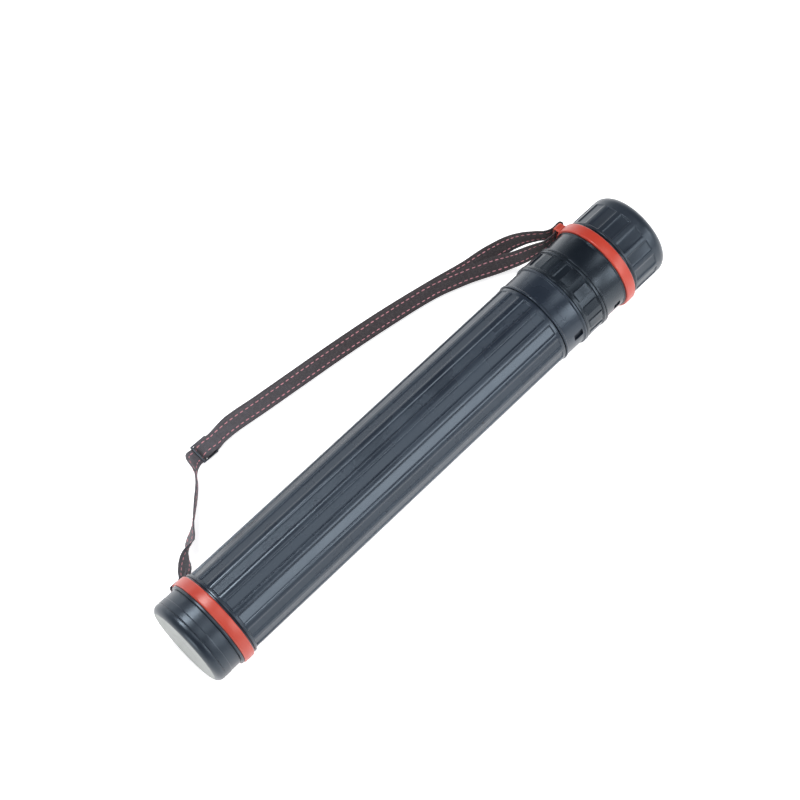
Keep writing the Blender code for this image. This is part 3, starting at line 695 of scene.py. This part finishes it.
def make_head():
    ring = UPPER_RING_X
    neck = BODY - 0.0003
    flange = ring + RING_WIDTH + PLAY
    flange_end = LID_START - PLAY
    seal = LID_START + 0.0120
    profile = plain([
        (HEAD_START, BEAD - 0.0005),
        (HEAD_START + 0.0004, BEAD),
        (HEAD_START + 0.0022, BEAD),
        (HEAD_START + 0.0029, neck),
        (ring - 0.0020, neck),
        (ring - 0.0016, BODY + 0.0008),
        (ring - PLAY, BODY + 0.0008),
        (ring - PLAY, NECK),
        (flange, NECK),
        (flange, BODY + 0.0003),
        (flange_end, BODY + 0.0003),
        (flange_end, TUBE_BORE),
        (seal, TUBE_BORE),
        (seal, TUBE_BORE - SEAL_DEPTH),
        (seal + SEAL_WIDTH, TUBE_BORE - SEAL_DEPTH),
        (seal + SEAL_WIDTH, TUBE_BORE),
        (HEAD_END, TUBE_BORE),
        (HEAD_END, BORE),
        (ring + 0.0004, BORE),
        (ring + 0.0004, SLEEVE_BORE),
        (HEAD_START, SLEEVE_BORE),
    ])
    made = turned("head_shell", profile, NECK_LOOK)
    cut_window(
        made,
        x=ring - 0.0165,
        length=0.0088,
        width=0.0084,
        angle=math.radians(178.0),
        low=SLEEVE_BORE + 0.0012,
        high=BEAD + 0.0020,
    )
    stand_for(made, "inner", "head")


def make_lid():
    corner_radius = 0.0110
    bore = TUBE_BORE + GAP
    ledge_x = HEAD_END + 0.0013 + 2 * GAP
    ledge = BORE - 0.0008
    inside = LENGTH - 0.0024
    corner_x = LENGTH - corner_radius
    last = corner_x - 0.0058
    profile = plain([
        (inside, 0.0),
        (inside, ledge - 0.0030),
        (inside - 0.0030, ledge),
        (ledge_x, ledge),
        (ledge_x, bore),
        (LID_START, bore),
        (LID_START, LID - 0.0005),
        (LID_START + 0.0005, LID),
        (LID_START + 0.0022, LID),
    ])
    profile += [(LID_START + 0.0032, LID, 1.0), (last - 0.0010, LID, 1.0), (last, LID, 0.0)]
    profile += plain(arc(corner_x, LID - corner_radius, corner_radius, 90, 0, 12))
    profile += plain([
        (LENGTH, LID - corner_radius - 0.0025),
        (LENGTH - 0.0006, LID - corner_radius - 0.0035),
        (LENGTH - 0.0006, 0.0),
    ])
    panels = panel_columns(phase=1.4, half=8.3, wall=1.2)
    made = turned("lid_shell", profile, CAP_LOOK, panels, rise=-0.0013, closed=False, radius=0.00035)
    stand_for(made, "lid", "lid")


# The strap ---------------------------------------------------------------------------------------------

WIDTH = 0.0190
THICKNESS = 0.0014
SLIDER_LENGTH = 0.0192
SLIDER_BAR = 0.0024
SLIDER_THICKNESS = 0.0020
SLIDER_SLOT = WIDTH + 0.0008
SLIDER_WIDTH = SLIDER_SLOT + 0.0028
SLIDER_LIFT = 2 * GAP + THICKNESS
SLIDER_ON = 0.1205
SLIDER_OUT = 0.1005
SLIDER_TURN = math.radians(-2.0)
LOWER_LUG_X = LOWER_RING_X + RING_WIDTH / 2
UPPER_LUG_X = UPPER_RING_X + RING_WIDTH / 2
LOWER_LUG_ANGLE = math.radians(-22.0)
UPPER_LUG_ANGLE = math.radians(0.0)
STITCH_INSET = 0.0042
STITCH_LENGTH = 0.0040
STITCH_PERIOD = 0.0064
STITCH_HALF = 0.00058         # half its width
STITCH_RISE = 0.00034
STITCH_ROOT = -0.0001         # its edges lie just under the face of the webbing
FLAT = Vector((0, 1, 0))


def lug_turn(lug_x, angle, side):
    """The webbing round a lug's bar, from outside the bar to under it."""
    outward, upward = lug_frame(angle)
    under = LUG_SLOT_LOW + LUG_SLOT / 2
    over = LUG_SLOT_LOW + LUG_SLOT + LUG_BAR + 2 * GAP + THICKNESS / 2
    middle = (over + under) / 2
    radius = (over - under) / 2
    points = [(lug_x - side * LUG_BAR_HALF, over)]
    for step in range(5):
        a = math.radians(90 - 45 * step)
        points.append((lug_x + side * (LUG_BAR_HALF + radius * math.cos(a)), middle + radius * math.sin(a)))
    points.append((lug_x - side * LUG_BAR_HALF, under))
    return [(Vector((x, 0, 0)) + outward * out, upward) for x, out in points]


def on_ground(x, out, height, width_way=FLAT):
    return Vector((x, RING + out, GROUND + height)), width_way


def at_slider(along, height):
    c = math.cos(SLIDER_TURN)
    s = math.sin(SLIDER_TURN)
    reach = along - SLIDER_LENGTH / 2
    return on_ground(LOWER_LUG_X + SLIDER_ON + c * reach, SLIDER_OUT + s * reach, height, Vector((-s, c, 0)))


def leaning(lug_x, lug_angle, places):
    """Points of the webbing between the ground and a lug.  places gives the distance on from the lug, the
    distance out, and the shares of the lug's height and of its lean."""
    height = RING * (1 + math.sin(lug_angle))
    lean = math.pi / 2 + lug_angle
    out = []
    for on, away, rise, turned in places:
        way = Vector((0, math.cos(lean * turned), math.sin(lean * turned)))
        out.append(on_ground(lug_x + on, away, height * rise, way))
    return out


def twisted(on, away, height, tilt):
    """A point of the thin run beside the lower lug, on its edge and tilted by so many degrees."""
    a = math.radians(tilt)
    way = Vector((0.64 * math.sin(a), -0.77 * math.sin(a), math.cos(a)))
    return on_ground(LOWER_LUG_X + on, away, height, way)


def strap_route():
    """The webbing's middle line as (point, way its width points), from the end sewn to the slider to the end
    sewn at the lower lug.  It runs out to the upper lug, back on itself, through the slider and down."""
    low = LOWER_LUG_X
    high = UPPER_LUG_X
    span = high - low
    under = GAP + THICKNESS / 2
    bar = SLIDER_BAR + (SLIDER_LENGTH - 3 * SLIDER_BAR) / 2
    over_bar = SLIDER_LIFT + SLIDER_THICKNESS + under
    second = under + THICKNESS + 0.0007
    over_fold = over_bar + THICKNESS + 0.0005
    # the arc on the ground, as the share of the way between the lugs and the distance out
    arc_places = [
        (0.300, 0.1022),
        (0.365, 0.0975),
        (0.450, 0.0918),
        (0.550, 0.0850),
        (0.660, 0.0762),
        (0.770, 0.0650),
    ]

    route = [
        at_slider(bar + 0.0055, over_bar),
        at_slider(bar + 0.0025, over_bar),
        at_slider(bar, over_bar),
        at_slider(bar - 0.0014, over_bar - 0.0006),
        at_slider(bar - 0.0020, (over_bar + under) / 2),
        at_slider(bar - 0.0014, under + 0.0006),
        at_slider(bar, under),
        at_slider(SLIDER_LENGTH, under),
        on_ground(low + 0.1400, SLIDER_OUT + 0.0012, under),
    ]
    route += [on_ground(low + span * share, away + 0.0010, under) for share, away in arc_places]
    to_upper_lug = (
        (-0.0760, 0.0550, 0.050, 0.03),
        (-0.0600, 0.0512, 0.112, 0.18),
        (-0.0460, 0.0458, 0.255, 0.42),
        (-0.0343, 0.0378, 0.500, 0.64),
        (-0.0253, 0.0282, 0.735, 0.83),
        (-0.0173, 0.0180, 0.900, 0.96),
        (-0.0110, 0.0106, 0.975, 1.00),
    )
    from_upper_lug = (
        (-0.0120, 0.0020, 0.985, 1.00),
        (-0.0185, 0.0035, 0.940, 0.98),
        (-0.0250, 0.0078, 0.825, 0.91),
        (-0.0315, 0.0135, 0.645, 0.78),
        (-0.0380, 0.0198, 0.460, 0.62),
        (-0.0455, 0.0270, 0.300, 0.43),
        (-0.0560, 0.0348, 0.185, 0.21),
        (-0.0690, 0.0420, 0.130, 0.08),
        (-0.0850, 0.0495, 0.100, 0.02),
    )
    route += leaning(high, UPPER_LUG_ANGLE, to_upper_lug)
    route += lug_turn(high, UPPER_LUG_ANGLE, 1)
    route += leaning(high, UPPER_LUG_ANGLE, from_upper_lug)
    route += [on_ground(low + span * share, away - 0.0020, second) for share, away in reversed(arc_places)]
    route += [
        on_ground(low + 0.1430, SLIDER_OUT + 0.0005, second),
        at_slider(SLIDER_LENGTH + 0.0030, over_bar - 0.0006),
        at_slider(SLIDER_LENGTH, over_bar + 0.0003),
        at_slider(bar + 0.0080, over_bar + 0.0012),
        at_slider(bar + 0.0050, over_fold),
        at_slider(bar, over_fold + 0.0001),
        at_slider(SLIDER_BAR + 0.0040, over_fold - 0.0004),
        at_slider(SLIDER_BAR + 0.0023, over_bar),
        at_slider(SLIDER_BAR + 0.0019, under + 0.0022),
        at_slider(SLIDER_BAR + 0.0014, under + 0.0008),
        at_slider(SLIDER_BAR, under),
        at_slider(-0.0010, under + 0.0003),
        on_ground(low + 0.1068, 0.1007, 0.0024, Vector((-0.03, 0.99, 0.10))),
        on_ground(low + 0.1040, 0.0993, 0.0051, Vector((-0.13, 0.92, 0.38))),
        on_ground(low + 0.1014, 0.0966, 0.0077, Vector((-0.22, 0.72, 0.66))),
        on_ground(low + 0.0991, 0.0930, 0.0094, Vector((-0.20, 0.43, 0.88))),
        on_ground(low + 0.0971, 0.0889, 0.0103, Vector((-0.10, 0.16, 0.98))),
        twisted(0.0948, 0.0846, 0.0105, 0),
        twisted(0.0905, 0.0782, 0.0104, 0),
        twisted(0.0839, 0.0712, 0.0104, 0),
        twisted(0.0750, 0.0632, 0.0104, 0),
        twisted(0.0660, 0.0553, 0.0104, 3),
        twisted(0.0590, 0.0492, 0.0104, 8),
        twisted(0.0527, 0.0440, 0.0102, 17),
        twisted(0.0470, 0.0395, 0.0099, 29),
        twisted(0.0422, 0.0358, 0.0103, 33),
        twisted(0.0378, 0.0322, 0.0116, 20),
        twisted(0.0334, 0.0287, 0.0136, 0),
        twisted(0.0288, 0.0248, 0.0163, -18),
        twisted(0.0240, 0.0205, 0.0194, -31),
        twisted(0.0185, 0.0155, 0.0227, -35),
        twisted(0.0120, 0.0096, 0.0259, -29),
    ]
    route += lug_turn(low, LOWER_LUG_ANGLE, -1)
    outward, upward = lug_frame(LOWER_LUG_ANGLE)
    for ahead, away in ((0.0090, 0.0040), (0.0130, 0.0070), (0.0175, 0.0112)):
        route.append((Vector((low + ahead, 0, 0)) + outward * (RING + away), upward))
    return route


def smooth_line(route, spacing):
    """Points along a smooth curve through the route, with the way the width points at each."""
    points = [p for p, w in route]
    ways = [w for p, w in route]
    knots = [0.0]
    for one, two in zip(points, points[1:]):
        knots.append(knots[-1] + (two - one).length)
    slopes = []
    for i in range(len(points)):
        before = max(i - 1, 0)
        after = min(i + 1, len(points) - 1)
        slopes.append((points[after] - points[before]) / (knots[after] - knots[before]))
    out = []
    for i in range(len(points) - 1):
        length = knots[i + 1] - knots[i]
        turn = slopes[i].angle(slopes[i + 1])
        pieces = max(1, math.ceil(length / spacing), math.ceil(turn / math.radians(24)))
        for k in range(pieces):
            t = k / pieces
            a = 2 * t**3 - 3 * t**2 + 1
            b = t**3 - 2 * t**2 + t
            c = 3 * t**2 - 2 * t**3
            d = t**3 - t**2
            place = a * points[i] + b * length * slopes[i] + c * points[i + 1] + d * length * slopes[i + 1]
            out.append((place, ways[i].lerp(ways[i + 1], t)))
    out.append((points[-1], ways[-1]))
    return out


def framed(line):
    """(middle, across, off, length so far) for each point of a line; across and off are unit vectors."""
    out = []
    length = 0.0
    for i, (point, way) in enumerate(line):
        ahead = line[min(i + 1, len(line) - 1)][0]
        behind = line[max(i - 1, 0)][0]
        if i:
            length += (point - behind).length
        forward = (ahead - behind).normalized()
        across = (way - forward * way.dot(forward)).normalized()
        out.append((point, across, forward.cross(across).normalized(), length))
    return out


def make_webbing(frames):
    """The band: rounded edges, ribbed faces and a UV map in metres."""
    half = WIDTH / 2
    thin = THICKNESS / 2
    columns = [half - 0.0004 - (WIDTH - 0.0008) * k / 12 for k in range(13)]
    section = [(c, thin) for c in columns]
    section += [(-half + 0.0001, thin * 0.55), (-half, 0.0), (-half + 0.0001, -thin * 0.55)]
    section += [(c, -thin) for c in reversed(columns)]
    section += [(half - 0.0001, -thin * 0.55), (half, 0.0), (half - 0.0001, thin * 0.55)]
    form = bmesh.new()
    layer = form.loops.layers.uv.new("webbing")
    rings = []
    for point, across, off, length in frames:
        rings.append([form.verts.new(point + across * a + off * o) for a, o in section])
    count = len(section)
    for i in range(len(rings) - 1):
        for k in range(count):
            j = (k + 1) % count
            face = form.faces.new((rings[i][k], rings[i][j], rings[i + 1][j], rings[i + 1][k]))
            places = ((section[k][0], i), (section[j][0], i), (section[j][0], i + 1), (section[k][0], i + 1))
            for loop, (across, row) in zip(face.loops, places):
                loop[layer].uv = (across, frames[row][3])
    form.faces.new(rings[0])
    form.faces.new(rings[-1])
    made = add_object("strap_webbing", finish_mesh("strap_webbing", form), WEBBING_LOOK)
    shade_smooth(made, 60.0)
    return made


def at_length(frames, length):
    """The point and directions at that length along the line."""
    low = 0
    high = len(frames) - 1
    while high - low > 1:
        middle = (low + high) // 2
        if frames[middle][3] > length:
            high = middle
        else:
            low = middle
    one, two = frames[low], frames[high]
    t = (length - one[3]) / (two[3] - one[3])
    return one[0].lerp(two[0], t), one[1].lerp(two[1], t).normalized(), one[2].lerp(two[2], t).normalized()


def make_stitches(frames):
    """Two rows of running stitches, seen on both faces: each a small rounded ridge of thread."""
    total = frames[-1][3]
    inset = WIDTH / 2 - STITCH_INSET
    form = bmesh.new()
    section = [
        (-STITCH_HALF, STITCH_ROOT),
        (-STITCH_HALF * 0.7, STITCH_RISE * 0.7),
        (0.0, STITCH_RISE),
        (STITCH_HALF * 0.7, STITCH_RISE * 0.7),
        (STITCH_HALF, STITCH_ROOT),
    ]
    for row in (-1, 1):
        for face in (-1, 1):
            start = 0.0020 + (STITCH_PERIOD / 2 if face < 0 else 0.0)
            while start + STITCH_LENGTH < total - 0.0020:
                shift = random.uniform(-0.00015, 0.00015)
                rings = []
                for k in range(5):
                    t = k / 4
                    point, across, off = at_length(frames, start + STITCH_LENGTH * t)
                    size = (0.35, 0.95, 1.0, 0.95, 0.35)[k]
                    base = point + across * (row * inset + shift) + off * (face * THICKNESS / 2)
                    ring = []
                    for a, o in section:
                        height = o * size if o > 0 else o
                        ring.append(form.verts.new(base + across * a * size + off * (face * height)))
                    rings.append(ring)
                loft(form, rings)
                start += STITCH_PERIOD
    made = add_object("strap_stitches", finish_mesh("strap_stitches", form), THREAD_LOOK)
    shade_smooth(made, 70.0)
    return made


def make_slider():
    """A plate with two slots and rounded edges."""
    slot = (SLIDER_LENGTH - 3 * SLIDER_BAR) / 2
    middle_bar = SLIDER_BAR + slot
    last_bar = SLIDER_LENGTH - SLIDER_BAR
    xs = [0.0, SLIDER_BAR, middle_bar, 2 * SLIDER_BAR + slot, last_bar, SLIDER_LENGTH]
    xs = [x - SLIDER_LENGTH / 2 for x in xs]
    ys = [-SLIDER_WIDTH / 2, -SLIDER_SLOT / 2, SLIDER_SLOT / 2, SLIDER_WIDTH / 2]
    form = bmesh.new()
    grid = [[form.verts.new((x, y, 0)) for y in ys] for x in xs]
    for i in range(5):
        for j in range(3):
            if j == 1 and i in (1, 3):
                continue
            form.faces.new((grid[i][j], grid[i + 1][j], grid[i + 1][j + 1], grid[i][j + 1]))
    raised = bmesh.ops.extrude_face_region(form, geom=form.faces[:])
    for item in raised["geom"]:
        if isinstance(item, bmesh.types.BMVert):
            item.co.z += SLIDER_THICKNESS
    bmesh.ops.recalc_face_normals(form, faces=form.faces)
    edges = [e for e in form.edges if len(e.link_faces) == 2 and e.calc_face_angle() > 0.5]
    bmesh.ops.bevel(form, geom=edges, offset=0.0005, segments=3, profile=0.5, affect="EDGES")
    made = add_object("slider_plate", finish_mesh("slider_plate", form), SLIDER_LOOK)
    shade_smooth(made)
    made.location = (LOWER_LUG_X + SLIDER_ON, RING + SLIDER_OUT, GROUND + SLIDER_LIFT)
    made.rotation_euler = (0, 0, SLIDER_TURN)
    stand_for(made, "outer", "strap_slider")


def make_strap():
    frames = framed(smooth_line(strap_route(), 0.0020))
    webbing = make_webbing(frames)
    stitches = make_stitches(frames)
    for made in (webbing, stitches):
        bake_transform(made)
    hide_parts("strap")


def relook_nodes():
    """Better materials on the inner pieces whose CAD shape stays."""
    looks = {
        "lock_collet": INNER_LOOK,
        "guide_ring": INNER_LOOK,
        "bottom_seal": RUBBER_LOOK,
        "head_seal": RUBBER_LOOK,
        "lid_gasket": RUBBER_LOOK,
    }
    for name, look in looks.items():
        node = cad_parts[name]
        for slot in node.material_slots:
            slot.material = look


# The floor and the light -------------------------------------------------------------------------------


def make_floor():
    form = bmesh.new()
    bmesh.ops.create_grid(form, x_segments=1, y_segments=1, size=4.0)
    look = Look("floor_look")
    white = look.mix(look.noise(3.0, 3.0), (0.80, 0.80, 0.80), (0.84, 0.84, 0.84))
    look.join(white, look.shader.inputs["Base Color"])
    look.join(white, look.shader.inputs["Emission Color"])
    look.set(Roughness=0.9, Emission_Strength=0.85)
    floor = add_object("floor", finish_mesh("floor", form), look.material)
    floor.location = (0.3, 0.0, GROUND - 0.0002)
    return floor


def area_light(name, place, target, size, power):
    data = bpy.data.lights.new(name, "AREA")
    data.shape = "RECTANGLE"
    data.size, data.size_y = size
    data.energy = power
    light = bpy.data.objects.new(name, data)
    light.location = place
    light.rotation_euler = (Vector(place) - Vector(target)).to_track_quat("Z", "Y").to_euler()
    bpy.context.scene.collection.objects.link(light)


def make_light():
    world = bpy.data.worlds.new("studio")
    bpy.context.scene.world = world
    world.use_nodes = True
    tree = world.node_tree
    where = tree.nodes.new("ShaderNodeTexCoord")
    split = tree.nodes.new("ShaderNodeSeparateXYZ")
    ramp = tree.nodes.new("ShaderNodeValToRGB")
    ramp.color_ramp.elements[0].position = 0.05
    ramp.color_ramp.elements[0].color = (0.85, 0.88, 0.92, 1)
    ramp.color_ramp.elements[1].position = 0.60
    ramp.color_ramp.elements[1].color = (0.10, 0.11, 0.13, 1)
    background = tree.nodes["Background"]
    tree.links.new(where.outputs["Generated"], split.inputs["Vector"])
    tree.links.new(split.outputs["Z"], ramp.inputs["Fac"])
    tree.links.new(ramp.outputs["Color"], background.inputs["Color"])
    background.inputs["Strength"].default_value = 0.9
    target = (0.31, 0.0, 0.0)
    area_light("front_softbox", (0.72, -1.30, 0.86), (0.45, 0.0, 0.0), (0.72, 0.80), 12.5)
    area_light("lid_softbox", (1.62, -1.15, 0.95), (0.60, 0.0, 0.0), (0.50, 0.60), 7.0)
    area_light("high_softbox", (0.66, -0.42, 1.85), (0.45, 0.0, 0.0), (1.20, 0.72), 8.0)
    area_light("top_softbox", (0.16, 0.80, 1.50), (0.10, 0.0, 0.0), (0.62, 0.52), 20.0)
    area_light("back_softbox", (0.31, 1.60, 0.36), target, (1.6, 0.30), 3.0)
    area_light("end_softbox", (-1.50, -0.20, 0.50), target, (0.8, 0.8), 8.0)


bpy.context.scene.view_settings.view_transform = "Standard"
floor = make_floor()
make_light()
make_outer_tube()
make_bottom_cap()
make_strap_ring("lower_ring", "lower_strap_ring", "outer", LOWER_RING_X, LOWER_LUG_ANGLE)
make_strap_ring("upper_ring", "upper_strap_ring", "inner", UPPER_RING_X, UPPER_LUG_ANGLE)
make_lock_collar()
collar_marks()
make_gate_mark()
make_lock_ring()
make_inner_tube()
make_head()
make_lid()
make_slider()
make_strap()
relook_nodes()
